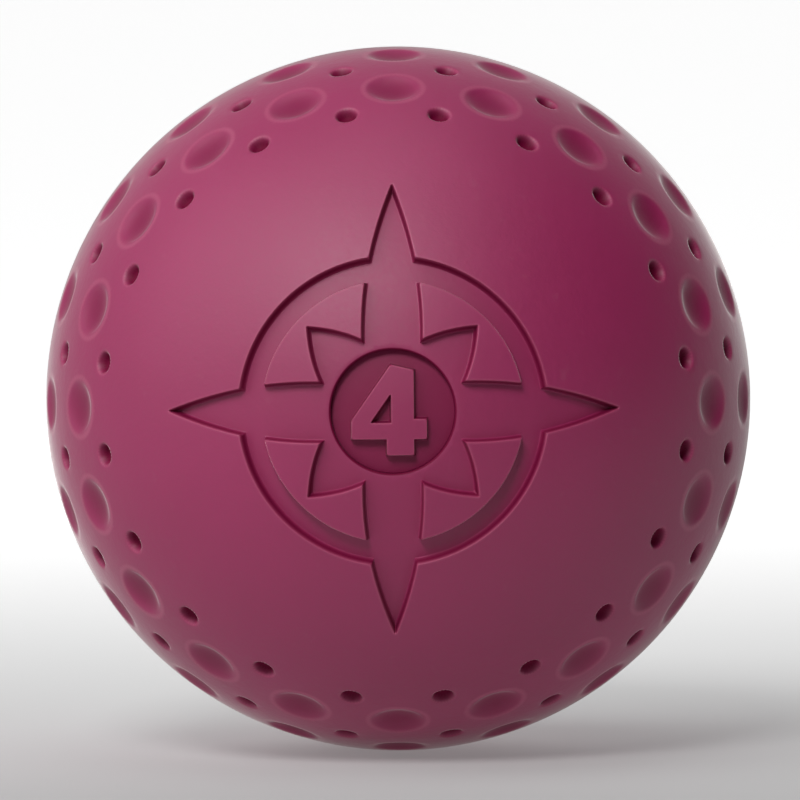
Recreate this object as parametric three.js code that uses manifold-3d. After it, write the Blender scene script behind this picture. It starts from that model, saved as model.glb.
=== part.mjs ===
// A numbered play ball. Two moulded cover halves close over a solid core and meet at the seam with a
// tongue and a groove. Each half has rings of round dimples and small pits outside a smooth cap, a sunk
// compass rose on the cap, and a round window at its pole. A flanged number disc, keyed so that it can't
// turn, sits behind each window and is trapped there by the core.
//
// Frame: millimetres, +Z up, origin at the ball's centre. The front number faces -Y and stands upright.
// The seam is the great circle in the plane Y = 0. Each half is drawn in its own frame, with its pole on
// +Z and its number upright along +Y, and is then turned into place as a group.
import * as THREE from "three";
import { mergeVertices } from "three/addons/utils/BufferGeometryUtils.js";
import Module from "manifold-3d";

// ---- Driving dimensions, in millimetres and degrees ----

const BALL_DIAMETER = 57.15;
const COVER_WALL = 6;
const CLEARANCE = 0.3; // between any two pieces that fit together
const BOND_LINE = 0.1; // glue between the two cover halves

const TONGUE_WIDTH = 2;
const TONGUE_HEIGHT = 1.6;

const COLUMNS = 20; // dimples in each ring, and pits in each ring
const DIMPLE_RING_ANGLES = [61.8, 77.5]; // from the pole
const PIT_RING_ANGLES = [54.6, 69.8];
const DIMPLE_DIAMETER = 4.5;
const DIMPLE_DEPTH = 0.5;
const PIT_DIAMETER = 1.75;
const PIT_DEPTH = 0.75;

const MOTIF_DEPTH = 0.8;
const MOTIF_RING_OUTER_RADIUS = 12;
const MOTIF_RING_WIDTH = 1.7;
const LONG_POINT_RADIUS = 17.5;
const SHORT_POINT_RADIUS = 9.3;
const ROSE_VALLEY_RADIUS = 6;
const ROSE_POINTS = 8; // long and short by turns
const POINT_FULLNESS = 0.27; // half the angle that a point fills at mid length, as a share of the pitch

const WINDOW_RADIUS = 4.8;
const NUMBER_SINK = 0.7; // from the motif's floor down to the number disc
const WINDOW_LIP = 1.9; // cover left round the window, under the motif's floor
const FLANGE_RADIUS = 7;
const KEY_WIDTH = 2;
const KEY_REACH = 1.2;

const NUMERAL_HEIGHT = 7.2;
const NUMERAL_WIDTH = 6;
const NUMERAL_SHIFT = -0.28; // its middle lies a little left of the window's middle
const NUMERAL_LIFT = 0.15; // and a little above it
const NUMERAL_STEM = 1.9;
const NUMERAL_BAR = 1.4;
const NUMERAL_FOOT = 1.25; // stem below the bar
const NUMERAL_FOOT_WIDTH = 2.25;
const NUMERAL_TOE = 1; // bar to the right of the stem
const NUMERAL_TOE_HEIGHT = 1.7;
const NUMERAL_TOP_FALL = 0.45; // the stem's top slopes down to the right
const NUMERAL_SHOULDER = 1.55; // height of the left end, from the bar's underside
const NUMERAL_EYE = 2.05; // height of the eye, which stands on the bar

// ---- How finely round shapes are cut ----

const TURNS = 2 * COLUMNS; // a facet edge runs through every dimple and pit
const CORE_TURNS = COLUMNS;
const ARC_STEP = 11.25; // degrees, along a profile
const DIMPLE_SIDES = 8;
const DIMPLE_BEND = [0.6, 0.65];
const PIT_SIDES = 5;
const WINDOW_SIDES = 24;
const RING_SIDES = 32;
const POINT_EDGE_STEPS = 3;
const OVERCUT = 1; // how far a cutter runs past the face that it opens

// ---- Worked out from these ----

const RAD = Math.PI / 180;
const BALL_RADIUS = BALL_DIAMETER / 2;
const COVER_INNER_RADIUS = BALL_RADIUS - COVER_WALL;
const CORE_RADIUS = COVER_INNER_RADIUS - CLEARANCE;
const SEAM_HEIGHT = BOND_LINE / 2;
const MOTIF_FLOOR_RADIUS = BALL_RADIUS - MOTIF_DEPTH;
const NUMBER_FLOOR_RADIUS = MOTIF_FLOOR_RADIUS - NUMBER_SINK;
const LEDGE_HEIGHT = MOTIF_FLOOR_RADIUS - WINDOW_LIP;
const COUNTERBORE_RADIUS = FLANGE_RADIUS + CLEARANCE;

const wasm = await Module();
wasm.setup();

// ---- Between three.js geometry and solids ----

function solidOf(geometry) {
  const bare = geometry.clone();
  bare.deleteAttribute("normal");
  bare.deleteAttribute("uv");
  const merged = mergeVertices(bare, 1e-4);
  return new wasm.Manifold(
    new wasm.Mesh({
      numProp: 3,
      vertProperties: merged.attributes.position.array,
      triVerts: new Uint32Array(merged.index.array),
    }),
  );
}

function geometryOf(solid) {
  const mesh = solid.getMesh();
  const geometry = new THREE.BufferGeometry();
  geometry.setAttribute("position", new THREE.BufferAttribute(mesh.vertProperties, 3));
  geometry.setIndex(new THREE.BufferAttribute(mesh.triVerts, 1));
  geometry.computeVertexNormals();
  return geometry;
}

const cutAway = (solid, cutters) => cutters.reduce((left, cutter) => left.subtract(cutter), solid);

// ---- Shapes that several pieces use ----

// Points of an arc about the origin, from one angle off the pole to another, as (distance from the axis,
// height) pairs. A point on the axis is put there exactly, so that the turned shape closes.
function arc(radius, fromAngle, toAngle, step) {
  const count = Math.max(1, Math.round(Math.abs(toAngle - fromAngle) / step));
  return Array.from({ length: count + 1 }, (_, i) => {
    const angle = (fromAngle + ((toAngle - fromAngle) * i) / count) * RAD;
    const atPole = Math.abs(Math.sin(angle)) < 1e-9;
    return new THREE.Vector2(atPole ? 0 : radius * Math.sin(angle), radius * Math.cos(angle));
  });
}

// The angle off the pole at which a sphere reaches a height, or a distance from the axis.
const angleAtHeight = (radius, height) => Math.acos(height / radius) / RAD;
const angleAtDistance = (radius, distance) => Math.asin(distance / radius) / RAD;

// A profile of (distance, height) pairs turned about the pole, from the bottom up.
function turned(profile, sides) {
  return new THREE.LatheGeometry(profile, sides).rotateX(Math.PI / 2);
}

const onAxis = (height) => new THREE.Vector2(0, height);

function column(radius, fromHeight, toHeight, sides) {
  const edge = [new THREE.Vector2(radius, fromHeight), new THREE.Vector2(radius, toHeight)];
  return turned([onAxis(fromHeight), ...edge, onAxis(toHeight)], sides);
}

function ball(radius, sides) {
  return turned(arc(radius, 180, 0, ARC_STEP), sides);
}

// A flat shape made into a column that runs from a height out through the top of the ball.
function columnOf(shape, fromHeight, steps) {
  const depth = BALL_RADIUS + OVERCUT - fromHeight;
  const geometry = new THREE.ExtrudeGeometry(shape, { depth, bevelEnabled: false, curveSegments: steps });
  return geometry.translate(0, 0, fromHeight);
}

// The key on a disc's flange, or the slot for it: a block that reaches down from the axis.
function keyBlock(width, reach, fromHeight, toHeight) {
  const block = new THREE.BoxGeometry(width, reach, toHeight - fromHeight);
  return block.translate(0, -reach / 2, (fromHeight + toHeight) / 2);
}

// ---- Dimples and pits ----

// A bowl with its mouth at height 0 and its foot below, closed by a lid above. A bend in its side stands
// at a share of the radius and a share of the depth.
function bowl(radius, depth, bends, sides) {
  const profile = [
    onAxis(-depth),
    ...bends.map(([out, down]) => new THREE.Vector2(radius * out, -depth * down)),
    new THREE.Vector2(radius, 0),
    new THREE.Vector2(radius, OVERCUT),
    onAxis(OVERCUT),
  ];
  return turned(profile, sides);
}

// One ring of bowls, each with its mouth on the ball's surface and its axis through the centre.
function ringOfBowls(geometry, mouthRadius, ringAngle, firstTurn) {
  const mouthHeight = Math.sqrt(BALL_RADIUS ** 2 - mouthRadius ** 2);
  return Array.from({ length: COLUMNS }, (_, i) => {
    const turn = firstTurn + (i * 2 * Math.PI) / COLUMNS;
    const placed = geometry.clone().translate(0, 0, mouthHeight);
    return solidOf(placed.rotateY(ringAngle * RAD).rotateZ(turn));
  });
}

// Dimples stand in columns, and the pits stand half a column to one side of them.
function dimplesAndPits() {
  const dimple = bowl(DIMPLE_DIAMETER / 2, DIMPLE_DEPTH, [DIMPLE_BEND], DIMPLE_SIDES);
  const pit = bowl(PIT_DIAMETER / 2, PIT_DEPTH, [], PIT_SIDES);
  const halfColumn = Math.PI / COLUMNS;
  return [
    ...DIMPLE_RING_ANGLES.flatMap((angle) => ringOfBowls(dimple, DIMPLE_DIAMETER / 2, angle, 0)),
    ...PIT_RING_ANGLES.flatMap((angle) => ringOfBowls(pit, PIT_DIAMETER / 2, angle, halfColumn)),
  ];
}

// ---- The sunk motif: a compass rose that crosses a ring ----

function roseShape() {
  const at = (radius, turn) => new THREE.Vector2(radius * Math.sin(turn), radius * Math.cos(turn));
  const share = (2 * Math.PI) / ROSE_POINTS;
  const shape = new THREE.Shape();
  const start = at(ROSE_VALLEY_RADIUS, -share / 2);
  shape.moveTo(start.x, start.y);
  for (let i = 0; i < ROSE_POINTS; i += 1) {
    const tipRadius = i % 2 === 0 ? LONG_POINT_RADIUS : SHORT_POINT_RADIUS;
    const waistRadius = (ROSE_VALLEY_RADIUS + tipRadius) / 2;
    const tip = at(tipRadius, i * share);
    const valley = at(ROSE_VALLEY_RADIUS, (i + 0.5) * share);
    const waistBefore = at(waistRadius, (i - POINT_FULLNESS) * share);
    const waistAfter = at(waistRadius, (i + POINT_FULLNESS) * share);
    shape.quadraticCurveTo(waistBefore.x, waistBefore.y, tip.x, tip.y);
    shape.quadraticCurveTo(waistAfter.x, waistAfter.y, valley.x, valley.y);
  }
  return shape;
}

function ringShape() {
  const shape = new THREE.Shape().absarc(0, 0, MOTIF_RING_OUTER_RADIUS, 0, 2 * Math.PI);
  shape.holes.push(
    new THREE.Path().absarc(0, 0, MOTIF_RING_OUTER_RADIUS - MOTIF_RING_WIDTH, 0, 2 * Math.PI, true),
  );
  return shape;
}

// The motif's walls run along the pole, the way the mould draws, and its floor follows the ball's curve.
function motifCutter() {
  const fromHeight = Math.sqrt(MOTIF_FLOOR_RADIUS ** 2 - LONG_POINT_RADIUS ** 2) - OVERCUT;
  const rose = solidOf(columnOf(roseShape(), fromHeight, POINT_EDGE_STEPS));
  const ring = solidOf(columnOf(ringShape(), fromHeight, RING_SIDES));
  return rose.add(ring).subtract(solidOf(ball(MOTIF_FLOOR_RADIUS, TURNS)));
}

// ---- Cover halves ----

const tongueMidRadius = BALL_RADIUS - COVER_WALL / 2;

// The step across the seam face, from the inside out: it stands proud for a tongue, or is cut in for a
// groove, which is wider and deeper by the clearance.
function seamStep(kind) {
  const spare = kind === "groove" ? CLEARANCE : 0;
  const halfWidth = TONGUE_WIDTH / 2 + spare;
  const foot = kind === "groove" ? SEAM_HEIGHT + TONGUE_HEIGHT + spare : SEAM_HEIGHT - TONGUE_HEIGHT;
  return [
    new THREE.Vector2(tongueMidRadius - halfWidth, SEAM_HEIGHT),
    new THREE.Vector2(tongueMidRadius - halfWidth, foot),
    new THREE.Vector2(tongueMidRadius + halfWidth, foot),
    new THREE.Vector2(tongueMidRadius + halfWidth, SEAM_HEIGHT),
  ];
}

function coverHalf(seamKind) {
  const innerSeamAngle = angleAtHeight(COVER_INNER_RADIUS, SEAM_HEIGHT);
  const outerSeamAngle = angleAtHeight(BALL_RADIUS, SEAM_HEIGHT);
  const profile = [
    ...arc(COVER_INNER_RADIUS, 0, innerSeamAngle, ARC_STEP),
    ...seamStep(seamKind),
    ...arc(BALL_RADIUS, outerSeamAngle, 0, ARC_STEP),
  ];
  const slotWidth = KEY_WIDTH + 2 * CLEARANCE;
  const slotReach = FLANGE_RADIUS + KEY_REACH + CLEARANCE;
  const cutters = [
    ...dimplesAndPits(),
    motifCutter(),
    solidOf(column(WINDOW_RADIUS, LEDGE_HEIGHT - OVERCUT, BALL_RADIUS + OVERCUT, WINDOW_SIDES)),
    solidOf(column(COUNTERBORE_RADIUS, 0, LEDGE_HEIGHT, WINDOW_SIDES)),
    solidOf(keyBlock(slotWidth, slotReach, 0, LEDGE_HEIGHT)),
  ];
  return geometryOf(cutAway(solidOf(turned(profile, TURNS)), cutters));
}

// ---- Number discs ----

// A plain block numeral four.
function numeralShape() {
  const left = NUMERAL_SHIFT - NUMERAL_WIDTH / 2;
  const right = left + NUMERAL_WIDTH;
  const bottom = NUMERAL_LIFT - NUMERAL_HEIGHT / 2;
  const top = bottom + NUMERAL_HEIGHT;
  const stemRight = right - NUMERAL_TOE;
  const stemLeft = stemRight - NUMERAL_STEM;
  const footLeft = stemRight - NUMERAL_FOOT_WIDTH;
  const barBottom = bottom + NUMERAL_FOOT;
  const barTop = barBottom + NUMERAL_BAR;
  const toeTop = barBottom + NUMERAL_TOE_HEIGHT;
  const shoulder = barBottom + NUMERAL_SHOULDER;
  const outline = [
    [footLeft, bottom],
    [stemRight, bottom],
    [stemRight, barBottom],
    [right, barBottom],
    [right, toeTop],
    [stemRight, toeTop],
    [stemRight, top - NUMERAL_TOP_FALL],
    [stemLeft, top],
    [left, shoulder],
    [left, barBottom],
    [footLeft, barBottom],
  ];
  const shape = new THREE.Shape(outline.map(([x, y]) => new THREE.Vector2(x, y)));
  const slope = (top - shoulder) / (stemLeft - left);
  const eye = [
    [stemLeft, barTop],
    [stemLeft - NUMERAL_EYE / slope, barTop],
    [stemLeft, barTop + NUMERAL_EYE],
  ];
  shape.holes.push(new THREE.Path(eye.map(([x, y]) => new THREE.Vector2(x, y))));
  return shape;
}

function numberDisc() {
  const backRadius = CORE_RADIUS + CLEARANCE;
  const bossRadius = WINDOW_RADIUS - CLEARANCE;
  const shoulderHeight = LEDGE_HEIGHT - CLEARANCE;
  const profile = [
    ...arc(backRadius, 0, angleAtDistance(backRadius, FLANGE_RADIUS), ARC_STEP),
    new THREE.Vector2(FLANGE_RADIUS, shoulderHeight),
    new THREE.Vector2(bossRadius, shoulderHeight),
    ...arc(NUMBER_FLOOR_RADIUS, angleAtDistance(NUMBER_FLOOR_RADIUS, bossRadius), 0, ARC_STEP),
  ];
  const keyFoot = Math.sqrt(backRadius ** 2 - FLANGE_RADIUS ** 2);
  const key = solidOf(keyBlock(KEY_WIDTH, FLANGE_RADIUS + KEY_REACH, keyFoot, shoulderHeight));
  const numeral = solidOf(columnOf(numeralShape(), shoulderHeight, 1));
  const raised = numeral.intersect(solidOf(ball(MOTIF_FLOOR_RADIUS, TURNS)));
  const keyOutside = key.subtract(solidOf(ball(backRadius, TURNS)));
  return geometryOf(solidOf(turned(profile, WINDOW_SIDES)).add(keyOutside).add(raised));
}

// ---- Assembly ----

const coverRubber = new THREE.MeshStandardMaterial({ color: 0x8f3357, roughness: 0.55, metalness: 0 });
const discRubber = new THREE.MeshStandardMaterial({ color: 0x8f3357, roughness: 0.55, metalness: 0 });
const coreRubber = new THREE.MeshStandardMaterial({ color: 0x3a3236, roughness: 0.85, metalness: 0 });

function piece(name, geometry, material) {
  const mesh = new THREE.Mesh(geometry, material);
  mesh.name = name;
  return mesh;
}

function half(side, seamKind) {
  const group = new THREE.Group();
  group.add(piece(`cover_${side}`, coverHalf(seamKind), coverRubber));
  group.add(piece(`number_disc_${side}`, numberDisc(), discRubber));
  group.rotation.x = Math.PI / 2; // the pole from +Z to -Y, and the number upright along +Z
  return group;
}

const playBall = new THREE.Group();
playBall.add(half("front", "tongue"));

const rear = new THREE.Group();
rear.add(half("rear", "groove"));
rear.rotation.z = Math.PI;
playBall.add(rear);

const core = piece("core", ball(CORE_RADIUS, CORE_TURNS), coreRubber);
core.rotation.x = Math.PI / 2; // its facets lie along the facets inside the cover
playBall.add(core);

export default playBall;
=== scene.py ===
import math

import bmesh
import bpy
import numpy as np
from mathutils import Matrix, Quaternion, Vector
from mathutils.geometry import delaunay_2d_cdt


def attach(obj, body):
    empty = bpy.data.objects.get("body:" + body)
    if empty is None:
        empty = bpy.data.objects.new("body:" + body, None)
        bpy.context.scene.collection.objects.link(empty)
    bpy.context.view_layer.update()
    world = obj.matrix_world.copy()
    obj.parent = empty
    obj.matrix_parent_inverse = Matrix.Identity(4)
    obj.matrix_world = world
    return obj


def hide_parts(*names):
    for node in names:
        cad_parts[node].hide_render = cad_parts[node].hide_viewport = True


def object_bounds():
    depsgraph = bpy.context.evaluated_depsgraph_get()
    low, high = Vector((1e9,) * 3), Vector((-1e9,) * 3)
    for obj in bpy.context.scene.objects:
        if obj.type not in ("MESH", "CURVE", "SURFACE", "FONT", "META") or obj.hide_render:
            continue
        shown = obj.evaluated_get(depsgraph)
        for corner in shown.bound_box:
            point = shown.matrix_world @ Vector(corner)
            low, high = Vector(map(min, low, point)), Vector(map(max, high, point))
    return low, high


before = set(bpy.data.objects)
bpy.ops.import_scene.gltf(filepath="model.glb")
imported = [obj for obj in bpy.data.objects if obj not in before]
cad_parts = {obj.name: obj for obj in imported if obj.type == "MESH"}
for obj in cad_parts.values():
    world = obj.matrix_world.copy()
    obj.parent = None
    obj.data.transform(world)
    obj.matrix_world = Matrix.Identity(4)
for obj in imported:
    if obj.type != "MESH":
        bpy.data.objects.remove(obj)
cad_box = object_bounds()

# ---- Sizes, in millimetres and degrees ----

MM = 0.001
BALL_RADIUS = (cad_box[1][0] - cad_box[0][0]) / 2 / MM
COVER_WALL = 6.0
CLEARANCE = 0.3
# The halves all but meet at the seam, and a small round edge marks it.
SEAM_GAP = 0.01
SEAM_LIP = 0.09
TONGUE_WIDTH = 2.0
TONGUE_HEIGHT = 1.6
TONGUE_DRAFT = 0.1
RIDGE_WIDTH = 0.5
RIDGE_HEIGHT = 0.08

COLUMNS = 20
DIMPLE_RINGS = (61.8, 77.5)
PIT_RINGS = (54.6, 69.8)
DIMPLE_RADIUS = 2.25
DIMPLE_DEPTH = 0.5
PIT_RADIUS = 0.88
PIT_DEPTH = 0.75

MOTIF_DEPTH = 0.8
WALL_RUN = 0.3
RING_OUTER_RADIUS = 12.0
RING_WIDTH = 1.7
LONG_POINT_RADIUS = 17.5
SHORT_POINT_RADIUS = 9.3
VALLEY_RADIUS = 6.0
ROSE_POINTS = 8
POINT_FULLNESS = 0.27

WINDOW_RADIUS = 4.8
WINDOW_ROUND = 0.2
NUMBER_SINK = 0.7
WINDOW_LIP = 1.9
FLANGE_RADIUS = 7.0
KEY_WIDTH = 2.0
KEY_REACH = 1.2
DISC_FIT = 0.01
DISC_ROUND = 0.03

NUMERAL_HEIGHT = 7.2
NUMERAL_WIDTH = 6.0
NUMERAL_SHIFT, NUMERAL_LIFT = -0.28, 0.15
NUMERAL_STEM = 1.9
NUMERAL_BAR = 1.4
NUMERAL_FOOT = 1.25
NUMERAL_FOOT_WIDTH = 2.25
NUMERAL_TOE = 1.0
NUMERAL_TOE_HEIGHT = 1.7
NUMERAL_TOP_FALL = 0.45
NUMERAL_SHOULDER = 1.55
NUMERAL_EYE = 2.05
NUMERAL_RUN = 0.24

# How much painted shade each place takes: a darker, less glossy finish mixed in where recesses lie in shade.
# A pit's is over one, so that it is fully shaded nearly out to its edge.
MOTIF_SHADE, NUMBER_SHADE, WALL_SHADE = 0.08, 0.55, 0.95
DIMPLE_SHADE, PIT_SHADE = 0.5, 1.4
# The painted highlight band along a moulded edge, as shares of its wall's run.
EDGE_BAND_PLACE, EDGE_BAND_WIDTH = 0.35, 0.5

# The rubber's finish. Each noise has its scale per millimetre, its detail and its roughness.
CLOUDS, GRAIN, MARKS = (0.09, 3.0, 0.5), (3.2, 3.0, 0.6), (0.55, 5.0, 0.65)
DUST_START, DUST_GAIN = 0.62, 6
# How much painted highlight is mixed in along edges, how much dust, and how strong the speckle.
RIM_HIGHLIGHT_SHARE, DUST_SHARE, SPECKLE = 0.6, 0.05, 0.16
SKIN_ROUGHNESS, GRAIN_ROUGHNESS, DUST_ROUGHNESS, INSIDE_ROUGHNESS = 0.58, 0.16, 0.08, 0.6
GRAIN_BUMP = {"Strength": 0.35, "Distance": 0.02 * MM}
MARKS_BUMP = {"Strength": 0.25, "Distance": 0.12 * MM}

# The camera's distance in ball radii, its angles in degrees, and its lens and framing in millimetres.
CAMERA_DISTANCE = 20
CAMERA_RISE, CAMERA_SWING, CAMERA_ROLL = 2.17, 0.89, -0.45
SENSOR = 36
LENS = 316.4
FRAMING_RIGHT, FRAMING_UP = 0.143, -0.128
FAR_CLIP = 100

# The stage and the light, in metres, degrees and watts.
STAGE_REACH, STAGE_BEND, STAGE_STEPS = 2.0, 0.8, 16
LIGHT_DISTANCE = 0.9
SIDE_BANK = {"turn": -72, "rise": 34, "size": 0.9, "power": 3.9}
FRONT_FILL = {"turn": -16, "rise": 40, "size": 0.3, "power": 4.3}
TOP_SHEET = {"turn": 0, "rise": 88, "size": 0.5, "power": 1.2}
ROOM_LIGHT, ROOM_SEEN = 0.03, 1.0
# The paper's painted glow: where it starts and where it is full, along the depth, and its strength.
GLOW_START, GLOW_END, PAPER_GLOW = -0.19, 0.41, 0.82
PAPER_PALENESS, PAPER_ROUGHNESS = 0.42, 0.8

COVER_INNER_RADIUS = BALL_RADIUS - COVER_WALL
CORE_RADIUS = COVER_INNER_RADIUS - CLEARANCE
SEAM_HEIGHT = SEAM_GAP / 2
MOTIF_FLOOR_RADIUS = BALL_RADIUS - MOTIF_DEPTH
NUMBER_FLOOR_RADIUS = MOTIF_FLOOR_RADIUS - NUMBER_SINK
LEDGE_HEIGHT = MOTIF_FLOOR_RADIUS - WINDOW_LIP
TONGUE_MID_RADIUS = BALL_RADIUS - COVER_WALL / 2
DISC_RADIUS = WINDOW_RADIUS - DISC_FIT

# ---- Mesh fineness ----

TURN_STEPS = 180
ROUND_STEPS = 4
INNER_STEPS = 18
BACK_STEPS = 8
CORE_STEPS = 60
EDGE_PITCH = 0.2
CORNER_STEP = math.radians(15)
ROW_TOLERANCE = 0.004
MERGE_DISTANCE = 0.02
WELD_DISTANCE = 0.002
SHARP_ANGLE = math.radians(40)
# A triangle with a corner farther out than this share of the window's loop lies outside the window.
HOLE_SHARE = 1.0001
POINTS_AT_ONCE = 4000
FINE, MIDDLE, COARSE = 0.3, 0.5, 0.8
FINE_BORDER, MIDDLE_BORDER = 0.9, 2.2
# How far the evenly spread points keep away from the shaped rows, as shares of their pitch.
LOOP_MARGIN, SEAM_MARGIN, EDGE_MARGIN, BOWL_MARGIN, NUMERAL_MARGIN = 0.6, 0.8, 0.5, 0.4, 0.4
# How far before the first ring of pits the closer points start, in pit radii.
BAND_START = 2
BORE_ROWS, STEP_ROWS = (0.35, 0.7, 1), (0.5, 1)
# Where the rows of points stand across a moulded edge, as shares of its wall's run.
EDGE_ROWS = (1.0, 0.68, 0.5, 0.38, 0.26, 0.13, 0.0, -0.13, -0.26, -0.38, -0.5, -0.68, -1.0)
DIMPLE_ROWS = ((0.2, 8), (0.38, 14), (0.54, 20), (0.67, 26), (0.78, 30), (0.86, 34), (0.92, 38),
               (0.98, 40), (1.04, 40), (1.11, 40), (1.2, 40))
PIT_ROWS = ((0.22, 6), (0.42, 10), (0.58, 14), (0.7, 16), (0.8, 18), (0.88, 20), (0.96, 22),
            (1.04, 22), (1.14, 22), (1.28, 22))


# ---- Nodes ----

class Sock:
    """One output of a node. Python's arithmetic on it adds Math nodes."""

    def __init__(self, nodes, socket):
        self.nodes = nodes
        self.socket = socket

    def maths(self, operation, *values):
        return self.nodes.add("ShaderNodeMath", {"operation": operation}, (self, *values))

    def __add__(self, other):
        return self.maths("ADD", other)

    def __sub__(self, other):
        return self.maths("SUBTRACT", other)

    def __rsub__(self, other):
        return self.nodes.add("ShaderNodeMath", {"operation": "SUBTRACT"}, (other, self))

    def __mul__(self, other):
        return self.maths("MULTIPLY", other)

    def __truediv__(self, other):
        return self.maths("DIVIDE", other)

    def __rtruediv__(self, other):
        return self.nodes.add("ShaderNodeMath", {"operation": "DIVIDE"}, (other, self))

    __radd__ = __add__
    __rmul__ = __mul__


class Nodes:
    """A node tree, and the one method that adds to it."""

    def __init__(self, tree):
        self.tree = tree

    def add(self, kind, settings=None, inputs=None, output=None):
        """Adds a node: its settings first, then its sockets by name or in order. Returns one output."""
        node = self.tree.nodes.new(kind)
        for name, value in (settings or {}).items():
            if name == "curve":
                draw_curve(node.mapping, value)
            else:
                setattr(node, name, value)
        sockets = [s for s in node.inputs if s.enabled]
        named = inputs if isinstance(inputs, dict) else dict(enumerate(inputs or ()))
        for key, value in named.items():
            socket = sockets[key] if isinstance(key, int) else next(s for s in sockets if s.name == key)
            if isinstance(value, Sock):
                self.tree.links.new(value.socket, socket)
            else:
                socket.default_value = value
        outputs = [s for s in node.outputs if s.enabled]
        chosen = next((s for s in outputs if s.name == output), outputs[0] if outputs else None)
        return Sock(self, chosen)

    def vector(self, operation, *values, output="Vector"):
        return self.add("ShaderNodeVectorMath", {"operation": operation}, values, output)

    def mix(self, factor, first, second):
        """A colour between two colours."""
        settings = {"data_type": "RGBA"}
        return self.add("ShaderNodeMix", settings, {"Factor": factor, "A": first, "B": second})


def draw_curve(mapping, points):
    """Sets a curve node's one curve to these points."""
    curve = mapping.curves[0]
    while len(curve.points) < len(points):
        curve.points.new(0.5, 0.5)
    for point, place in zip(curve.points, points):
        point.location = place
    mapping.update()


# ---- The plan of a half ball ----

def direction_of(plan):
    """Unit directions from the ball's centre for points on the plan."""
    near = plan / (2 * BALL_RADIUS)
    square = (near ** 2).sum(axis=1)
    return np.column_stack((2 * near, 1 - square)) / (1 + square)[:, None]


def plan_of(direction):
    return 2 * BALL_RADIUS * direction[:, :2] / (1 + direction[:, 2:3])


def below(across, radius):
    """Directions for points given by their two distances from the pole's axis, on a sphere."""
    height = np.sqrt(radius ** 2 - (across ** 2).sum(axis=1))
    return np.column_stack((across, height)) / radius


def stretch(plan):
    """How much longer the plan is than the ball's surface, near each point."""
    return 1 + (plan ** 2).sum(axis=1) / (2 * BALL_RADIUS) ** 2


def on_circle(turns, distance):
    return np.column_stack((np.cos(turns), np.sin(turns))) * distance


def even_turns(count, first=0.0):
    return first + np.arange(count) * 2 * math.pi / count


# ---- Outlines, drawn as seen along the pole ----

def quadratic(start, control, end):
    """Points of a curved edge, about one edge pitch apart, without its last point."""
    start, control, end = (np.array(p) for p in (start, control, end))
    count = max(2, round(np.linalg.norm(end - start) / EDGE_PITCH))
    t = (np.arange(count) / count)[:, None]
    return start * (1 - t) ** 2 + control * 2 * t * (1 - t) + end * t ** 2


def rose_outline():
    """The compass rose: long and short points by turns, with the first pointing up."""
    def at(radius, step):
        turn = math.pi / 2 + step * 2 * math.pi / ROSE_POINTS
        return radius * math.cos(turn), radius * math.sin(turn)

    edges = []
    for i in range(ROSE_POINTS):
        tip_radius = LONG_POINT_RADIUS if i % 2 == 0 else SHORT_POINT_RADIUS
        waist_radius = (VALLEY_RADIUS + tip_radius) / 2
        tip = at(tip_radius, i)
        edges.append(quadratic(at(VALLEY_RADIUS, i - 0.5), at(waist_radius, i - POINT_FULLNESS), tip))
        edges.append(quadratic(tip, at(waist_radius, i + POINT_FULLNESS), at(VALLEY_RADIUS, i + 0.5)))
    return np.vstack(edges)


def ring_outlines():
    """The ring's outer edge, and its inner edge drawn the other way round."""
    inner_radius = RING_OUTER_RADIUS - RING_WIDTH
    outer = on_circle(even_turns(round(2 * math.pi * RING_OUTER_RADIUS / EDGE_PITCH)), RING_OUTER_RADIUS)
    inner = on_circle(even_turns(round(2 * math.pi * inner_radius / EDGE_PITCH)), inner_radius)
    return outer, inner[::-1]


def straight_edges(corners):
    """A closed outline of straight edges, as points about one edge pitch apart."""
    following = corners[1:] + corners[:1]
    return np.vstack([quadratic(a, ((a[0] + b[0]) / 2, (a[1] + b[1]) / 2), b)
                      for a, b in zip(corners, following)])


def numeral_outlines():
    """A plain block four: its outline, and its eye drawn the other way round."""
    left, bottom = NUMERAL_SHIFT - NUMERAL_WIDTH / 2, NUMERAL_LIFT - NUMERAL_HEIGHT / 2
    right, top = left + NUMERAL_WIDTH, bottom + NUMERAL_HEIGHT
    stem_right = right - NUMERAL_TOE
    stem_left = stem_right - NUMERAL_STEM
    foot_left = stem_right - NUMERAL_FOOT_WIDTH
    bar_bottom = bottom + NUMERAL_FOOT
    bar_top = bar_bottom + NUMERAL_BAR
    toe_top = bar_bottom + NUMERAL_TOE_HEIGHT
    shoulder = bar_bottom + NUMERAL_SHOULDER
    outline = [(foot_left, bottom), (stem_right, bottom), (stem_right, bar_bottom), (right, bar_bottom),
               (right, toe_top), (stem_right, toe_top), (stem_right, top - NUMERAL_TOP_FALL),
               (stem_left, top), (left, shoulder), (left, bar_bottom), (foot_left, bar_bottom)]
    slope = (top - shoulder) / (stem_left - left)
    eye = [(stem_left, bar_top), (stem_left - NUMERAL_EYE / slope, bar_top),
           (stem_left, bar_top + NUMERAL_EYE)]
    return straight_edges(outline), straight_edges(eye)


def inside_distance(points, loop):
    """Distance from each point to a closed loop, negative inside it."""
    start, end = loop, np.roll(loop, -1, axis=0)
    along = end - start
    length_square = (along ** 2).sum(axis=1)
    nearest = np.empty(len(points))
    inside = np.zeros(len(points), dtype=bool)
    for first in range(0, len(points), POINTS_AT_ONCE):
        part = slice(first, first + POINTS_AT_ONCE)
        away = points[part, None, :] - start[None]
        share = np.clip((away * along).sum(axis=2) / length_square, 0, 1)
        nearest[part] = np.sqrt(((away - share[..., None] * along) ** 2).sum(axis=2).min(axis=1))
        above = points[part, None, 1] > start[None, :, 1]
        crosses = above != (points[part, None, 1] > end[None, :, 1])
        with np.errstate(divide="ignore", invalid="ignore"):
            reach = along[:, 0] * away[..., 1] / along[:, 1]
        inside[part] = (crosses & (away[..., 0] < reach)).sum(axis=1) % 2 == 1
    return np.where(inside, -nearest, nearest)


# ---- Points of the skin ----

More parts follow.
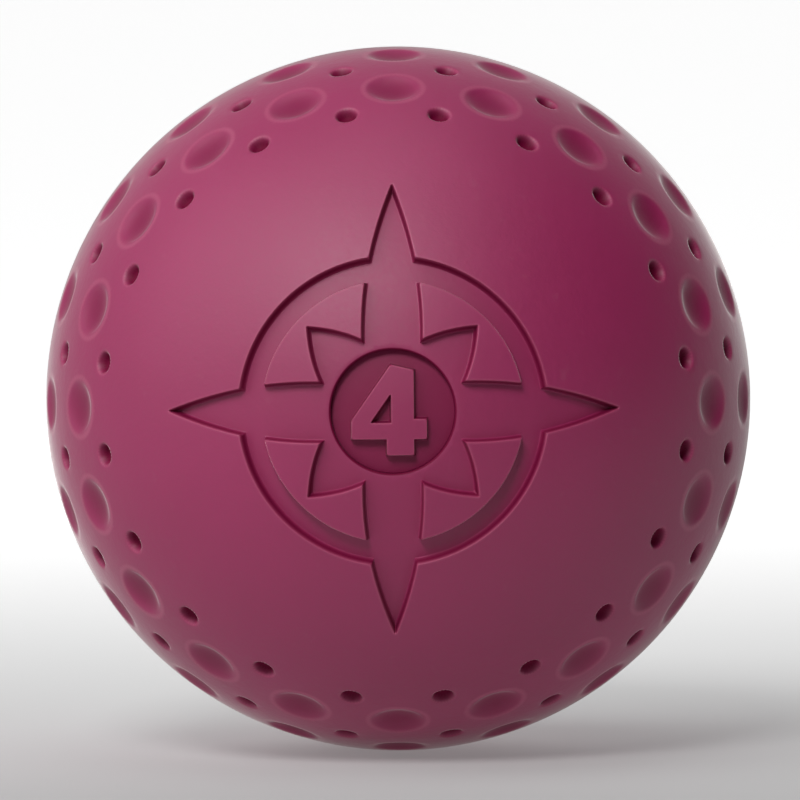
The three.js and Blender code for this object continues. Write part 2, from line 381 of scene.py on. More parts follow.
def edge_rows(loop, run, distance):
    """Rows of points beside a moulded edge. Round a corner they fan out, and where rows from two edges
    would cross, only the ones that lie at their own distance from the nearest edge are kept."""
    forward = np.roll(loop, -1, axis=0) - loop
    normal = np.column_stack((forward[:, 1], -forward[:, 0]))
    normal /= np.linalg.norm(normal, axis=1)[:, None]
    places, normals = [], []
    for i, place in enumerate(loop):
        before, after = normal[i - 1], normal[i]
        turn = math.atan2(before[0] * after[1] - before[1] * after[0], before @ after)
        steps = max(1, round(abs(turn) / CORNER_STEP))
        for k in range(steps + 1) if steps > 1 else (0.5,):
            angle = turn * k / steps
            cos, sin = math.cos(angle), math.sin(angle)
            places.append(place)
            normals.append((before[0] * cos - before[1] * sin, before[0] * sin + before[1] * cos))
    places, normals = np.array(places), np.array(normals)
    widen = stretch(places)[:, None]
    rows = [places + normals * widen * share * run for share in EDGE_ROWS]
    kept = [row[np.abs(distance(row) - share * run) < ROW_TOLERANCE]
            for row, share in zip(rows, EDGE_ROWS)]
    return np.vstack(kept)


def bowl_rows(ring_angle, first_turn, radius, rows):
    """Rings of points round every bowl of one ring of dimples or pits."""
    polar = math.radians(ring_angle)
    points = []
    for turn in even_turns(COLUMNS, first_turn):
        middle = np.array((math.sin(polar) * math.cos(turn), math.sin(polar) * math.sin(turn),
                           math.cos(polar)))
        outward = np.array((math.cos(polar) * math.cos(turn), math.cos(polar) * math.sin(turn),
                            -math.sin(polar)))
        sideways = np.cross(middle, outward)
        points.append(middle[None])
        for i, (share, count) in enumerate(rows):
            spread = share * radius / BALL_RADIUS
            around = even_turns(count, (i % 2) * math.pi / count)[:, None]
            points.append(middle * math.cos(spread)
                          + (outward * np.cos(around) + sideways * np.sin(around)) * math.sin(spread))
    return np.vstack(points)


def bowl_middles(rings, first_turn):
    polar = np.radians(rings)[:, None]
    turns = even_turns(COLUMNS, first_turn)[None]
    middle = np.stack((np.sin(polar) * np.cos(turns), np.sin(polar) * np.sin(turns),
                       np.cos(polar) + 0 * turns), axis=2)
    return middle.reshape(-1, 3)


def clear_of(directions, middles, distance):
    """Whether each direction is at least so far from all the bowls' middles."""
    return (directions @ middles.T).max(axis=1) < math.cos(distance / BALL_RADIUS)


def spread_rows(first_polar, last_polar, pitch):
    """Points in rows round the pole, about one pitch apart."""
    count = max(1, round((last_polar - first_polar) * BALL_RADIUS / pitch))
    rows = []
    for i in range(count + 1):
        polar = first_polar + (last_polar - first_polar) * i / count
        around = max(1, round(2 * math.pi * BALL_RADIUS * math.sin(polar) / pitch))
        turns = even_turns(around, (i % 2) * math.pi / around)
        rows.append(np.column_stack((math.sin(polar) * np.cos(turns), math.sin(polar) * np.sin(turns),
                                     np.full(around, math.cos(polar)))))
    return np.vstack(rows)


def triangles_over(plan, inner_radius):
    """Delaunay triangles over the points, less those that lie wholly inside a round hole."""
    result = delaunay_2d_cdt([Vector(p) for p in plan], [], [], 0, MERGE_DISTANCE)
    places = np.array([tuple(p) for p in result[0]])
    faces = np.array([tuple(f) for f in result[2]])
    reach = np.hypot(places[:, 0], places[:, 1])[faces].max(axis=1)
    return places, faces[reach > inner_radius]


# ---- The cover's skin ----

WINDOW_LOOP_POLAR = math.asin((WINDOW_RADIUS + WINDOW_ROUND) / MOTIF_FLOOR_RADIUS)
SEAM_LOOP_POLAR = math.acos((SEAM_HEIGHT + SEAM_LIP) / BALL_RADIUS)


def turns_with(corners):
    """Even turns round the pole, with the nearest ones moved to the turns of some corners."""
    turns = even_turns(TURN_STEPS)
    for corner in corners:
        turn = math.atan2(corner[1], corner[0]) % (2 * math.pi)
        turns[round(turn * TURN_STEPS / (2 * math.pi)) % TURN_STEPS] = turn
    return turns


def keyed_corners(radius, half_width, reach):
    """Where a round outline meets a key that points down, and the key's corners."""
    foot = math.sqrt(radius ** 2 - half_width ** 2)
    return [(side * half_width, -y) for side in (-1, 1) for y in (foot, reach)]


def keyed_outline(turns, radius, half_width, reach):
    """The distance from the axis of a round outline with a key that points down."""
    sine, cosine = np.sin(turns), np.cos(turns)
    across = half_width / np.maximum(np.abs(cosine), half_width / BALL_RADIUS)
    key = np.minimum(across, reach / np.maximum(-sine, reach / BALL_RADIUS))
    return np.where(sine < 0, np.maximum(radius, key), radius)


SLOT = (FLANGE_RADIUS + CLEARANCE, KEY_WIDTH / 2 + CLEARANCE, FLANGE_RADIUS + KEY_REACH + CLEARANCE)
KEYED_FLANGE = (FLANGE_RADIUS, KEY_WIDTH / 2, FLANGE_RADIUS + KEY_REACH)
COVER_TURNS = turns_with(keyed_corners(*SLOT))
DISC_TURNS = turns_with(keyed_corners(*KEYED_FLANGE))


def loop_at(turns, polar):
    """Directions of a loop of points round the pole."""
    return np.column_stack((on_circle(turns, math.sin(polar)), np.full(len(turns), math.cos(polar))))


def mesh_of(name, places, faces, attributes=None):
    """A mesh in metres from places in millimetres, with numbers kept on its points."""
    mesh = bpy.data.meshes.new(name)
    mesh.from_pydata((np.asarray(places) * MM).tolist(), [], [list(face) for face in faces])
    for attribute, values in (attributes or {}).items():
        layer = mesh.attributes.new(attribute, "FLOAT", "POINT")
        layer.data.foreach_set("value", np.asarray(values, dtype=np.float32))
    return mesh


def cover_skin():
    """The smooth skin of a half ball, with its points close together wherever the mould shapes it."""
    rose = plan_of(below(rose_outline(), BALL_RADIUS))
    ring_outer, ring_inner = (plan_of(below(loop, BALL_RADIUS)) for loop in ring_outlines())
    outer_radius, inner_radius = np.hypot(*ring_outer[0]), np.hypot(*ring_inner[0])

    def motif_distance(plan):
        from_middle = np.hypot(plan[:, 0], plan[:, 1])
        ring = np.maximum(from_middle - outer_radius, inner_radius - from_middle)
        return np.minimum(inside_distance(plan, rose), ring) / stretch(plan)

    edges = np.vstack([edge_rows(loop, WALL_RUN, motif_distance)
                       for loop in (rose, ring_outer, ring_inner)])
    half_column = math.pi / COLUMNS
    bowls = np.vstack([bowl_rows(angle, 0, DIMPLE_RADIUS, DIMPLE_ROWS) for angle in DIMPLE_RINGS]
                      + [bowl_rows(angle, half_column, PIT_RADIUS, PIT_ROWS) for angle in PIT_RINGS])
    dimples = bowl_middles(DIMPLE_RINGS, 0)
    pits = bowl_middles(PIT_RINGS, half_column)

    fill = []
    band_polar = math.radians(PIT_RINGS[0]) - BAND_START * PIT_RADIUS / BALL_RADIUS
    for pitch in (FINE, MIDDLE, COARSE):
        rows = spread_rows(WINDOW_LOOP_POLAR + LOOP_MARGIN * pitch / BALL_RADIUS,
                           SEAM_LOOP_POLAR - SEAM_MARGIN * pitch / BALL_RADIUS, pitch)
        away = np.abs(motif_distance(plan_of(rows)))
        shaped = (away < MIDDLE_BORDER) | (rows[:, 2] < math.cos(band_polar))
        wanted = np.where(away < FINE_BORDER, FINE, np.where(shaped, MIDDLE, COARSE))
        kept = (wanted == pitch) & (away > WALL_RUN + EDGE_MARGIN * pitch)
        kept &= clear_of(rows, dimples, DIMPLE_ROWS[-1][0] * DIMPLE_RADIUS + BOWL_MARGIN * pitch)
        kept &= clear_of(rows, pits, PIT_ROWS[-1][0] * PIT_RADIUS + BOWL_MARGIN * pitch)
        fill.append(rows[kept])
    loops = [loop_at(COVER_TURNS, polar) for polar in (WINDOW_LOOP_POLAR, SEAM_LOOP_POLAR)]
    plan = np.vstack((edges, plan_of(np.vstack([bowls, *fill, *loops]))))
    hole = np.hypot(*plan_of(loops[0])[0])
    places, faces = triangles_over(plan, hole * HOLE_SHARE)
    skin = direction_of(places) * BALL_RADIUS
    return mesh_of("cover_skin", skin, faces, {"motif_edge": motif_distance(places) * MM})


def disc_face():
    """The smooth face of a number disc, with its points close together along the numeral's edges."""
    outline, eye = (plan_of(below(loop, MOTIF_FLOOR_RADIUS)) for loop in numeral_outlines())

    def numeral_distance(plan):
        solid = np.maximum(inside_distance(plan, outline), -inside_distance(plan, eye))
        return solid / stretch(plan)

    edges = np.vstack([edge_rows(loop, NUMERAL_RUN, numeral_distance) for loop in (outline, eye)])
    rim_polar = math.asin((DISC_RADIUS - DISC_ROUND) / NUMBER_FLOOR_RADIUS)
    rows = spread_rows(0, rim_polar - LOOP_MARGIN * FINE / BALL_RADIUS, FINE)
    away = np.abs(numeral_distance(plan_of(rows)))
    fill = rows[away > NUMERAL_RUN + NUMERAL_MARGIN * FINE]
    plan = np.vstack((edges, plan_of(np.vstack((fill, loop_at(DISC_TURNS, rim_polar))))))
    places, faces = triangles_over(plan, -1)
    face = direction_of(places) * MOTIF_FLOOR_RADIUS
    return mesh_of("disc_face", face, faces, {"motif_edge": -numeral_distance(places) * MM})


# ---- Turned surfaces ----

def ring_at(turns, distance, height):
    """A ring of points: each turn's distance from the axis and height may be its own."""
    distance = np.broadcast_to(distance, turns.shape)
    height = np.broadcast_to(height, turns.shape)
    return np.column_stack((np.cos(turns) * distance, np.sin(turns) * distance, height))


def rings_mesh(name, rings, closed_ends=(False, False), painted_shades=(0, 0, 0)):
    """Quads from each ring to the next, with a fan of triangles to a middle point at a closed end. The
    last argument gives the shares of painted shade on the first ring, between, and on the last."""
    count = len(rings[0])
    places = np.vstack(rings)
    column = np.arange(count)
    following = np.roll(column, -1)
    faces = []
    for i in range(len(rings) - 1):
        low, high = i * count, (i + 1) * count
        faces += np.column_stack((low + column, low + following, high + following, high + column)).tolist()
    for end, closed in zip((0, len(rings) - 1), closed_ends):
        if closed:
            middle = rings[end].mean(axis=0)
            middle[2] = closed
            places = np.vstack((places, middle))
            faces += [[end * count + a, end * count + b, len(places) - 1] for a, b in zip(column, following)]
    first, between, last = painted_shades
    hollow = np.full(len(places), float(between))
    hollow[:count] = first
    hollow[(len(rings) - 1) * count:len(rings) * count] = last
    return mesh_of(name, places, faces, {"hollow": hollow})


def rounded(turns, distance, height, across, up):
    """Rings of a quarter round from a level face to an upright wall, which lies so far across and up."""
    angles = np.arange(ROUND_STEPS + 1) * math.pi / 2 / ROUND_STEPS
    return [ring_at(turns, distance + across * math.sin(a), height + up * (1 - math.cos(a))) for a in angles]


def seam_step(kind):
    """Distances and heights across the seam face, for a tongue or for the groove that it fits."""
    spare = CLEARANCE if kind == "groove" else 0
    half_width = TONGUE_WIDTH / 2 + spare
    foot = SEAM_HEIGHT + (TONGUE_HEIGHT + spare if kind == "groove" else -TONGUE_HEIGHT)
    inside, outside = TONGUE_MID_RADIUS - half_width, TONGUE_MID_RADIUS + half_width
    lean = TONGUE_DRAFT if kind == "tongue" else 0
    return [(inside, SEAM_HEIGHT), (inside + lean, foot), (outside - lean, foot), (outside, SEAM_HEIGHT)]


def cover_inside(kind):
    """Everything of a cover half but its skin, from the window's edge round to the seam's."""
    turns = COVER_TURNS
    lip = WINDOW_RADIUS + WINDOW_ROUND
    top = math.sqrt(MOTIF_FLOOR_RADIUS ** 2 - lip ** 2)
    rings = rounded(turns, lip, top, -WINDOW_ROUND, -WINDOW_ROUND)
    bore_top = top - WINDOW_ROUND
    rings += [ring_at(turns, WINDOW_RADIUS, bore_top + (LEDGE_HEIGHT - bore_top) * share)
              for share in BORE_ROWS]
    slot = keyed_outline(turns, *SLOT)
    rings += [ring_at(turns, WINDOW_RADIUS + (slot - WINDOW_RADIUS) * share, LEDGE_HEIGHT)
              for share in STEP_ROWS]
    mouth = np.sqrt(COVER_INNER_RADIUS ** 2 - slot ** 2)
    rings += [ring_at(turns, slot, LEDGE_HEIGHT + (mouth - LEDGE_HEIGHT) * share) for share in STEP_ROWS]
    first = np.arcsin(slot / COVER_INNER_RADIUS)
    last = math.acos(SEAM_HEIGHT / COVER_INNER_RADIUS)
    for i in range(1, INNER_STEPS + 1):
        polar = first + (last - first) * i / INNER_STEPS
        rings.append(ring_at(turns, COVER_INNER_RADIUS * np.sin(polar), COVER_INNER_RADIUS * np.cos(polar)))
    rings += [ring_at(turns, distance, height) for distance, height in seam_step(kind)]
    rings += rounded(turns, BALL_RADIUS - SEAM_LIP, SEAM_HEIGHT, SEAM_LIP, SEAM_LIP)[:-1]
    rings.append(loop_at(turns, SEAM_LOOP_POLAR) * BALL_RADIUS)
    # Painted shade: a little at the window's top edge, much over its wall and the rest of the inside, none
    # at the seam's outer edge.
    return rings_mesh("cover_inside", rings, painted_shades=(MOTIF_SHADE, WALL_SHADE, 0))


def disc_body():
    """Everything of a number disc but its face: the boss, the keyed flange and the concave back."""
    turns = DISC_TURNS
    lip = DISC_RADIUS - DISC_ROUND
    top = math.sqrt(NUMBER_FLOOR_RADIUS ** 2 - lip ** 2)
    shoulder = LEDGE_HEIGHT - CLEARANCE
    rings = rounded(turns, lip, top, DISC_ROUND, -DISC_ROUND)
    rings.append(ring_at(turns, DISC_RADIUS, shoulder))
    flange = keyed_outline(turns, *KEYED_FLANGE)
    rings += [ring_at(turns, DISC_RADIUS + (flange - DISC_RADIUS) * share, shoulder) for share in STEP_ROWS]
    back = np.sqrt(COVER_INNER_RADIUS ** 2 - flange ** 2)
    rings += [ring_at(turns, flange, shoulder + (back - shoulder) * share) for share in STEP_ROWS]
    outer = np.arcsin(flange / COVER_INNER_RADIUS)
    for i in range(1, BACK_STEPS):
        polar = outer * (1 - i / BACK_STEPS)
        rings.append(ring_at(turns, COVER_INNER_RADIUS * np.sin(polar), COVER_INNER_RADIUS * np.cos(polar)))
    # Painted shade: part at the edge of the numeral's floor, and much over the disc's sides and back.
    painted_shades = (NUMBER_SHADE, WALL_SHADE, WALL_SHADE)
    return rings_mesh("disc_body", rings, (False, COVER_INNER_RADIUS), painted_shades)


def core_ball():
    """The core: a plain moulded ball with a fine parting ridge round its middle."""
    turns = even_turns(TURN_STEPS)
    rings = []
    for i in range(1, CORE_STEPS):
        polar = math.pi * i / CORE_STEPS
        rings.append(ring_at(turns, CORE_RADIUS * math.sin(polar), CORE_RADIUS * math.cos(polar)))
    for share in (-1, -0.5, 0.5, 1):
        height = share * RIDGE_WIDTH / 2
        distance = CORE_RADIUS + (RIDGE_HEIGHT if abs(share) < 1 else 0)
        rings.append(ring_at(turns, math.sqrt(distance ** 2 - height ** 2), height))
    rings = [ring for ring in rings if abs(ring[0, 2]) > RIDGE_WIDTH or abs(ring[0, 2]) <= RIDGE_WIDTH / 2]
    rings.sort(key=lambda ring: -ring[0, 2])
    return rings_mesh("core_ball", rings, (CORE_RADIUS, -CORE_RADIUS))


# ---- Geometry Nodes: the mould's shapes ----

# Each curve is nought at its reach, so that the skin beyond the bowls stays where it is.
PROFILE_REACH = 1.3
DIMPLE_PROFILE = ((0, 1), (0.3, 0.93), (0.55, 0.74), (0.74, 0.48), (0.87, 0.22), (0.97, 0.06), (1.08, 0.008),
                  (1.2, 0), (PROFILE_REACH, 0))
PIT_PROFILE = ((0, 1), (0.3, 0.97), (0.55, 0.86), (0.75, 0.64), (0.88, 0.36), (0.98, 0.12), (1.1, 0.02),
               (1.25, 0), (PROFILE_REACH, 0))
# The painted highlight round the lip of each bowl, over the same distances.
RIM_HIGHLIGHT = ((0, 0), (0.9, 0), (0.98, 0.4), (1.05, 1), (1.13, 0.4), (1.22, 0), (PROFILE_REACH, 0))


def group_of(name, inputs):
    """A geometry node group with one geometry in, one out, and named inputs."""
    tree = bpy.data.node_groups.new(name, "GeometryNodeTree")
    tree.interface.new_socket(name="Geometry", in_out="OUTPUT", socket_type="NodeSocketGeometry")
    tree.interface.new_socket(name="Geometry", in_out="INPUT", socket_type="NodeSocketGeometry")
    for label, kind in inputs.items():
        tree.interface.new_socket(name=label, in_out="INPUT", socket_type=f"NodeSocket{kind}")
    nodes = Nodes(tree)
    entry = tree.nodes.new("NodeGroupInput")
    return nodes, {socket.name: Sock(nodes, socket) for socket in entry.outputs if socket.name}


def finish_group(nodes, geometry, material):
    real = nodes.add("GeometryNodeRealizeInstances", {}, {"Geometry": geometry})
    done = nodes.add("GeometryNodeSetMaterial", {}, {"Geometry": real, "Material": material})
    nodes.add("NodeGroupOutput", {}, {"Geometry": done})
    return nodes.tree


def share_curve(nodes, share, points):
    """A curve through given points over the distance from a bowl's middle, as a share of its radius."""
    drawn = [(x / PROFILE_REACH, y) for x, y in points]
    along = (share / PROFILE_REACH).maths("MINIMUM", 1.0)
    return nodes.add("ShaderNodeFloatCurve", {"curve": drawn}, {"Value": along})


def nearest_bowl(nodes, outward, turn, ball_radius, columns, ring_angle, offset):
    """The distance over the surface to the nearest bowl's middle in one ring."""
    pitch = 2 * math.pi / columns
    centre_turn = ((turn / pitch - offset).maths("ROUND") + offset) * pitch
    sine, cosine = ring_angle.maths("SINE"), ring_angle.maths("COSINE")
    across, upwards = sine * centre_turn.maths("COSINE"), sine * centre_turn.maths("SINE")
    middle = nodes.add("ShaderNodeCombineXYZ", {}, (across, upwards, cosine))
    return nodes.vector("DISTANCE", outward, middle, output="Value") * ball_radius


def moulded_step(nodes, edge, run):
    """From 0 outside a moulded edge to 1 inside it, over the run of its wall."""
    settings = {"interpolation_type": "SMOOTHERSTEP"}
    values = {"Value": edge, "From Min": run / 2, "From Max": run / -2, "To Min": 0.0, "To Max": 1.0}
    return nodes.add("ShaderNodeMapRange", settings, values)


def motif_edge(nodes):
    return nodes.add("GeometryNodeInputNamedAttribute", {"data_type": "FLOAT"}, {"Name": "motif_edge"},
                     "Attribute")


def edge_highlight(nodes, edge, run):
    """A painted highlight: a narrow pale band along the top of a moulded edge, for light through thin
    rubber.
    """
    away = (edge / run - EDGE_BAND_PLACE).maths("ABSOLUTE")
    return (1 - away / EDGE_BAND_WIDTH).maths("MAXIMUM", 0.0)


def step_shade(sunk, top_share, floor_share):
    """The painted shade of a moulded step: its own share above and below, and darkest half way down its
    wall, where the wall's number is one."""
    wall = sunk * (1 - sunk) * 4
    level = sunk * (floor_share - top_share) + top_share
    return level + wall * (1 - level) * WALL_SHADE


def press(nodes, geometry, outward, depth):
    """Moves the skin towards the ball's centre."""
    offset = nodes.vector("SCALE", outward, depth * -1)
    return nodes.add("GeometryNodeSetPosition", {}, {"Geometry": geometry, "Offset": offset})


def keep_number(nodes, geometry, name, value):
    settings = {"data_type": "FLOAT", "domain": "POINT"}
    return nodes.add("GeometryNodeStoreNamedAttribute", settings,
                     {"Geometry": geometry, "Name": name, "Value": value})


def cover_press():
    """Presses rings of dimples and pits, and the sunk motif, into the skin of a cover half."""
    inputs = {"Ball radius": "Float", "Columns": "Int", "Dimple radius": "Float", "Dimple depth": "Float",
              "Pit radius": "Float", "Pit depth": "Float", "Motif depth": "Float", "Wall run": "Float",
              "Material": "Material"}
    rings = [(f"Dimple ring {i + 1}", "Dimple", 0.0) for i in range(len(DIMPLE_RINGS))]
    rings += [(f"Pit ring {i + 1}", "Pit", 0.5) for i in range(len(PIT_RINGS))]
    inputs.update({label: "Float" for label, _, _ in rings})
    nodes, given = group_of("cover_press", inputs)
    place = nodes.add("GeometryNodeInputPosition")
    outward = nodes.vector("NORMALIZE", place)
    x = nodes.add("ShaderNodeSeparateXYZ", {}, (place,), "X")
    y = nodes.add("ShaderNodeSeparateXYZ", {}, (place,), "Y")
    turn = y.maths("ARCTAN2", x)
    edge = motif_edge(nodes)
    sunk = moulded_step(nodes, edge, given["Wall run"])
    depth = sunk * given["Motif depth"]
    # Painted highlight: a pale share along the motif's top edges and round the lips of the bowls.
    rim = edge_highlight(nodes, edge, given["Wall run"])
    # Painted shade: a darker, less glossy share, slight on the motif's floor, most down its walls, and
    # strong in the pits and dimples below.
    hollow = step_shade(sunk, 0.0, MOTIF_SHADE)
    for label, kind, offset in rings:
        away = nearest_bowl(nodes, outward, turn, given["Ball radius"], given["Columns"], given[label],
                            offset)
        share = away / given[f"{kind} radius"]
        bowl = share_curve(nodes, share, DIMPLE_PROFILE if kind == "Dimple" else PIT_PROFILE)
        depth = depth + bowl * given[f"{kind} depth"]
        rim = rim + share_curve(nodes, share, RIM_HIGHLIGHT)
        hollow = hollow + bowl * (DIMPLE_SHADE if kind == "Dimple" else PIT_SHADE)
    kept = keep_number(nodes, given["Geometry"], "rim", rim.maths("MINIMUM", 1.0))
    kept = keep_number(nodes, kept, "hollow", hollow.maths("MINIMUM", 1.0))
    return finish_group(nodes, press(nodes, kept, outward, depth), given["Material"])


def disc_press():
    """Presses a number disc's face down round its numeral."""
    inputs = {"Number sink": "Float", "Wall run": "Float", "Material": "Material"}
    nodes, given = group_of("disc_press", inputs)
    outward = nodes.vector("NORMALIZE", nodes.add("GeometryNodeInputPosition"))
    edge = motif_edge(nodes)
    sunk = moulded_step(nodes, edge, given["Wall run"])
    # Painted highlight along the top of the numeral's edges.
    kept = keep_number(nodes, given["Geometry"], "rim", edge_highlight(nodes, edge, given["Wall run"]))
    # Painted shade on the numeral's sunk floor, darkest down its walls.
    kept = keep_number(nodes, kept, "hollow", step_shade(sunk, MOTIF_SHADE, NUMBER_SHADE))
    return finish_group(nodes, press(nodes, kept, outward, sunk * given["Number sink"]), given["Material"])


def pressed(mesh, tree, values):
    """The mesh that a node group makes of a mesh, with these values for its named inputs."""
    piece = bpy.data.objects.new(mesh.name, mesh)
    bpy.context.scene.collection.objects.link(piece)
    modifier = piece.modifiers.new("press", "NODES")
    modifier.node_group = tree
    for socket in tree.interface.items_tree:
        if socket.in_out == "INPUT" and socket.name in values:
            modifier[socket.identifier] = values[socket.name]
    graph = bpy.context.evaluated_depsgraph_get()
    result = bpy.data.meshes.new_from_object(piece.evaluated_get(graph), depsgraph=graph)
    bpy.data.objects.remove(piece)
    return result


# ---- Materials ----

def rubber(name, tint):
    """Matt moulded rubber, coloured right through: a hazy bloom on the handled skin, a painted highlight
    along moulded edges, painted shade in recesses (a darker, less glossy finish), with a fine mould grain
    and faint handling marks."""
    material = bpy.data.materials.new(name)
    material.use_nodes = True
    material.node_tree.nodes.clear()
    nodes = Nodes(material.node_tree)
    place = nodes.add("ShaderNodeTexCoord", {}, {}, "Object")

    def noise(scale, detail, rough):
        values = {"Vector": place, "Scale": scale / MM, "Detail": detail, "Roughness": rough}
        return nodes.add("ShaderNodeTexNoise", {}, values)

    def kept_number(attribute):
        return nodes.add("ShaderNodeAttribute", {"attribute_name": attribute}, {}, "Fac")

    clouds, grain, marks = noise(*CLOUDS), noise(*GRAIN), noise(*MARKS)
    rim, hollow = kept_number("rim"), kept_number("hollow")
    dust = ((marks - DUST_START) * DUST_GAIN).maths("MAXIMUM", 0.0).maths("MINIMUM", 1.0)
    body = nodes.mix(clouds, tint["deep"], tint["light"])
    # The pale edge colour mixed in here is a painted highlight.
    body = nodes.mix(rim * RIM_HIGHLIGHT_SHARE, body, tint["rim"])
    body = nodes.mix(dust * DUST_SHARE, body, tint["dust"])
    speckle = (grain - 0.5) * SPECKLE
    colour = nodes.add("ShaderNodeHueSaturation", {}, {"Value": speckle + 1.0, "Color": body})
    rough = SKIN_ROUGHNESS + (grain - 0.5) * GRAIN_ROUGHNESS + dust * DUST_ROUGHNESS
    grained = nodes.add("ShaderNodeBump", {}, {**GRAIN_BUMP, "Height": grain})
    normal = nodes.add("ShaderNodeBump", {}, {**MARKS_BUMP, "Height": marks, "Normal": grained})
    skin = nodes.add("ShaderNodeBsdfPrincipled", {}, {"Base Color": colour, "Roughness": rough,
                                                      "Normal": normal, **tint["skin"]})
    # Painted shade: a darker finish with little specular, mixed in by the kept share in recesses.
    inside = nodes.add("ShaderNodeBsdfPrincipled", {}, {"Base Color": tint["hollow"], "Normal": normal,
                                                        "Roughness": INSIDE_ROUGHNESS, **tint["inside"]})
    finish = nodes.add("ShaderNodeMixShader", {}, (hollow, skin, inside))
    nodes.add("ShaderNodeOutputMaterial", {}, (finish,))
    return material


RASPBERRY = {
    # The pale edge colour here is a painted highlight.
    "deep": (0.32, 0.0035, 0.086, 1), "light": (0.37, 0.006, 0.106, 1), "rim": (0.48, 0.07, 0.17, 1),
    # The dark recess colour here and the inside settings below are painted shade.
    "dust": (0.62, 0.45, 0.48, 1), "hollow": (0.16, 0.0006, 0.033, 1),
    "skin": {"Subsurface Weight": 0.1, "Subsurface Radius": (1.0, 0.15, 0.3),
             "Subsurface Scale": 0.5 * MM, "IOR": 1.5, "Specular IOR Level": 1.0,
             "Sheen Weight": 1.0, "Sheen Roughness": 0.24, "Sheen Tint": (1, 0.98, 0.96, 1)},
    "inside": {"IOR": 1.5, "Specular IOR Level": 0.12},
}
CORE_BLACK = {
    "deep": (0.030, 0.026, 0.028, 1), "light": (0.045, 0.040, 0.043, 1), "rim": (0.06, 0.055, 0.058, 1),
    "dust": (0.25, 0.23, 0.23, 1), "hollow": (0.02, 0.018, 0.02, 1),
    "skin": {"IOR": 1.5, "Sheen Weight": 0.1, "Sheen Roughness": 0.5},
    "inside": {"IOR": 1.5, "Specular IOR Level": 0.2},
}

# ---- Pieces ----

def facing_front(places):
    """From a half's own frame to the front half's place: its pole to -Y, its number upright."""
    return np.column_stack((places[:, 0], -places[:, 2], places[:, 1]))


def facing_rear(places):
    return np.column_stack((-places[:, 0], places[:, 2], places[:, 1]))


def closed_piece(name, meshes, material, to_place):
    """Joins meshes that share their edge loops into one closed piece, faces outwards, in its place."""
    joined = bmesh.new()
    for mesh in meshes:
        joined.from_mesh(mesh)
    bmesh.ops.remove_doubles(joined, verts=joined.verts, dist=WELD_DISTANCE * MM)
    bmesh.ops.recalc_face_normals(joined, faces=joined.faces)
    if joined.calc_volume(signed=True) < 0:
        bmesh.ops.reverse_faces(joined, faces=joined.faces)
    mesh = bpy.data.meshes.new(name)
    joined.to_mesh(mesh)
    joined.free()
    places = np.empty(len(mesh.vertices) * 3)
    mesh.vertices.foreach_get("co", places)
    mesh.vertices.foreach_set("co", to_place(places.reshape(-1, 3)).ravel())
    mesh.materials.clear()
    mesh.materials.append(material)
    mesh.shade_smooth()
    mesh.set_sharp_from_angle(angle=SHARP_ANGLE)
    piece = bpy.data.objects.new(name, mesh)
    bpy.context.scene.collection.objects.link(piece)
    return piece


def place_piece(piece, node):
    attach(piece, "root")
    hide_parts(node)


def make_ball():
    raspberry = rubber("raspberry_rubber", RASPBERRY)
    core_rubber = rubber("core_rubber", CORE_BLACK)
    sizes = {"Ball radius": BALL_RADIUS * MM, "Columns": COLUMNS, "Dimple radius": DIMPLE_RADIUS * MM,
             "Dimple depth": DIMPLE_DEPTH * MM, "Pit radius": PIT_RADIUS * MM, "Pit depth": PIT_DEPTH * MM,
             "Motif depth": MOTIF_DEPTH * MM, "Wall run": WALL_RUN * MM, "Material": raspberry}
    sizes.update({f"Dimple ring {i + 1}": math.radians(angle) for i, angle in enumerate(DIMPLE_RINGS)})
    sizes.update({f"Pit ring {i + 1}": math.radians(angle) for i, angle in enumerate(PIT_RINGS)})
    skin = pressed(cover_skin(), cover_press(), sizes)
    face = pressed(disc_face(), disc_press(),
                   {"Number sink": NUMBER_SINK * MM, "Wall run": NUMERAL_RUN * MM, "Material": raspberry})
    body = disc_body()
    for side, kind, to_place in (("front", "tongue", facing_front), ("rear", "groove", facing_rear)):
        cover = closed_piece(f"{side}_cover_moulding", [skin, cover_inside(kind)], raspberry, to_place)
        place_piece(cover, f"cover_{side}")
        disc = closed_piece(f"{side}_number_moulding", [face, body], raspberry, to_place)
        place_piece(disc, f"number_disc_{side}")
    core = closed_piece("core_moulding", [core_ball()], core_rubber, facing_front)
    place_piece(core, "core")


# ---- Camera, floor and light ----

def make_camera():
    """A long lens, level with the ball and looking at its number from a little above and to the right."""
    data = bpy.data.cameras.new("camera")
    data.lens = LENS
    data.sensor_width = SENSOR
    data.clip_end = FAR_CLIP
    camera = bpy.data.objects.new("camera", data)
    bpy.context.scene.collection.objects.link(camera)
    rise, swing = math.radians(CAMERA_RISE), math.radians(CAMERA_SWING)
    back = Vector((math.sin(swing) * math.cos(rise), -math.cos(swing) * math.cos(rise), math.sin(rise)))
    roll = Quaternion((0, 0, 1), math.radians(CAMERA_ROLL))
    camera.rotation_euler = (back.to_track_quat("Z", "Y") @ roll).to_euler()
    right = Vector((math.cos(swing), math.sin(swing), 0))
    up = back.cross(right)
    place = back * CAMERA_DISTANCE * BALL_RADIUS + right * FRAMING_RIGHT + up * FRAMING_UP
    camera.location = place * MM
    bpy.context.scene.camera = camera


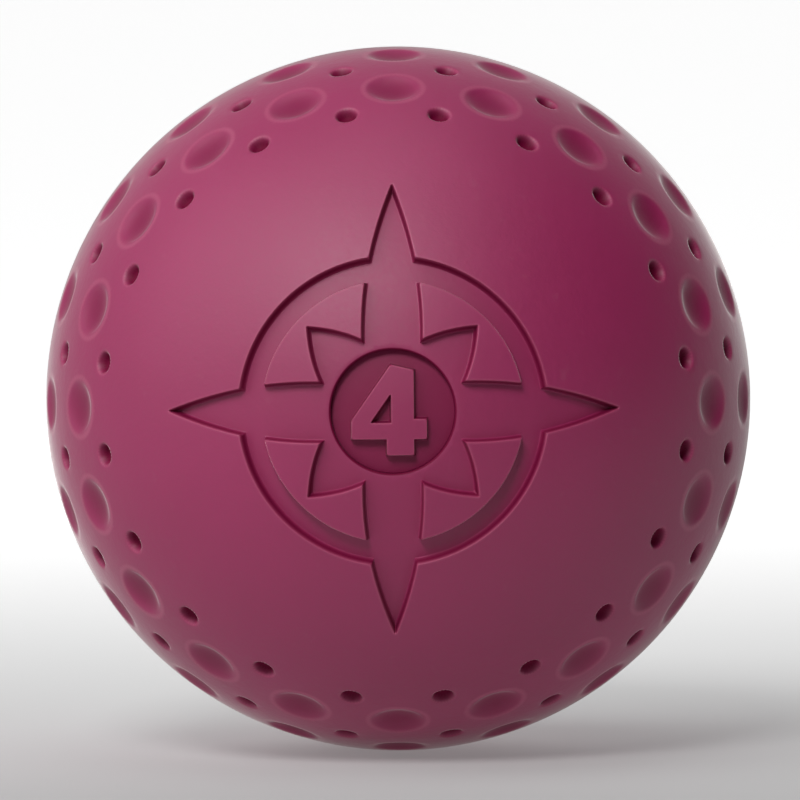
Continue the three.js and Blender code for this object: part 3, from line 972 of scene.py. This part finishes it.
def glowing_paper():
    """Pale paper with a painted glow: it gives off light itself, none well in front of the ball, rising to
    full far behind it.
    """
    material = bpy.data.materials.new("glowing_paper")
    material.use_nodes = True
    nodes = Nodes(material.node_tree)
    place = nodes.add("ShaderNodeTexCoord", {}, {}, "Object")
    depth = nodes.add("ShaderNodeSeparateXYZ", {}, (place,), "Y")
    settings = {"interpolation_type": "SMOOTHSTEP"}
    values = {"Value": depth, "From Min": GLOW_START, "From Max": GLOW_END, "To Max": PAPER_GLOW}
    glow = nodes.add("ShaderNodeMapRange", settings, values)
    light = nodes.add("ShaderNodeCombineColor", {}, (glow, glow, glow))
    shader = material.node_tree.nodes["Principled BSDF"]
    material.node_tree.links.new(light.socket, shader.inputs["Emission Color"])
    shader.inputs["Emission Strength"].default_value = 1
    shader.inputs["Base Color"].default_value = (PAPER_PALENESS, PAPER_PALENESS, PAPER_PALENESS, 1)
    shader.inputs["Roughness"].default_value = PAPER_ROUGHNESS
    return material


def make_stage():
    """A pale floor that the ball stands on, and that curves up far behind it."""
    floor_height = cad_box[0][2]
    profile = [(-STAGE_REACH, 0), (STAGE_REACH - STAGE_BEND, 0)]
    for i in range(1, STAGE_STEPS + 1):
        angle = math.pi / 2 * i / STAGE_STEPS
        profile.append((STAGE_REACH - STAGE_BEND + STAGE_BEND * math.sin(angle),
                        STAGE_BEND * (1 - math.cos(angle))))
    profile.append((STAGE_REACH, STAGE_REACH))
    places = [(side * STAGE_REACH, y, floor_height + z) for y, z in profile for side in (-1, 1)]
    faces = [(2 * i, 2 * i + 1, 2 * i + 3, 2 * i + 2) for i in range(len(profile) - 1)]
    mesh = bpy.data.meshes.new("floor")
    mesh.from_pydata(places, [], faces)
    mesh.shade_smooth()
    mesh.materials.append(glowing_paper())
    floor = bpy.data.objects.new("floor", mesh)
    bpy.context.scene.collection.objects.link(floor)


def area_light(name, turn, rise, size, power):
    """A square soft light aimed at the ball: its turn is from the front, and to the left below zero."""
    turn, rise = math.radians(turn), math.radians(rise)
    away = Vector((math.sin(turn) * math.cos(rise), -math.cos(turn) * math.cos(rise), math.sin(rise)))
    data = bpy.data.lights.new(name, "AREA")
    data.size = size
    data.energy = power
    light = bpy.data.objects.new(name, data)
    light.location = away * LIGHT_DISTANCE
    light.rotation_euler = away.to_track_quat("Z", "Y").to_euler()
    bpy.context.scene.collection.objects.link(light)


def make_light():
    """Three soft lights in a dim room whose far walls show pale."""
    area_light("side_bank", **SIDE_BANK)
    area_light("front_fill", **FRONT_FILL)
    area_light("top_sheet", **TOP_SHEET)
    world = bpy.data.worlds.new("studio")
    world.use_nodes = True
    nodes = Nodes(world.node_tree)
    seen = nodes.add("ShaderNodeLightPath", {}, {}, "Is Camera Ray")
    background = world.node_tree.nodes["Background"]
    strength = seen * (ROOM_SEEN - ROOM_LIGHT) + ROOM_LIGHT
    world.node_tree.links.new(strength.socket, background.inputs["Strength"])
    background.inputs["Color"].default_value = (1, 1, 1, 1)
    bpy.context.scene.world = world
    bpy.context.scene.view_settings.view_transform = "Standard"


make_camera()
make_stage()
make_light()
make_ball()
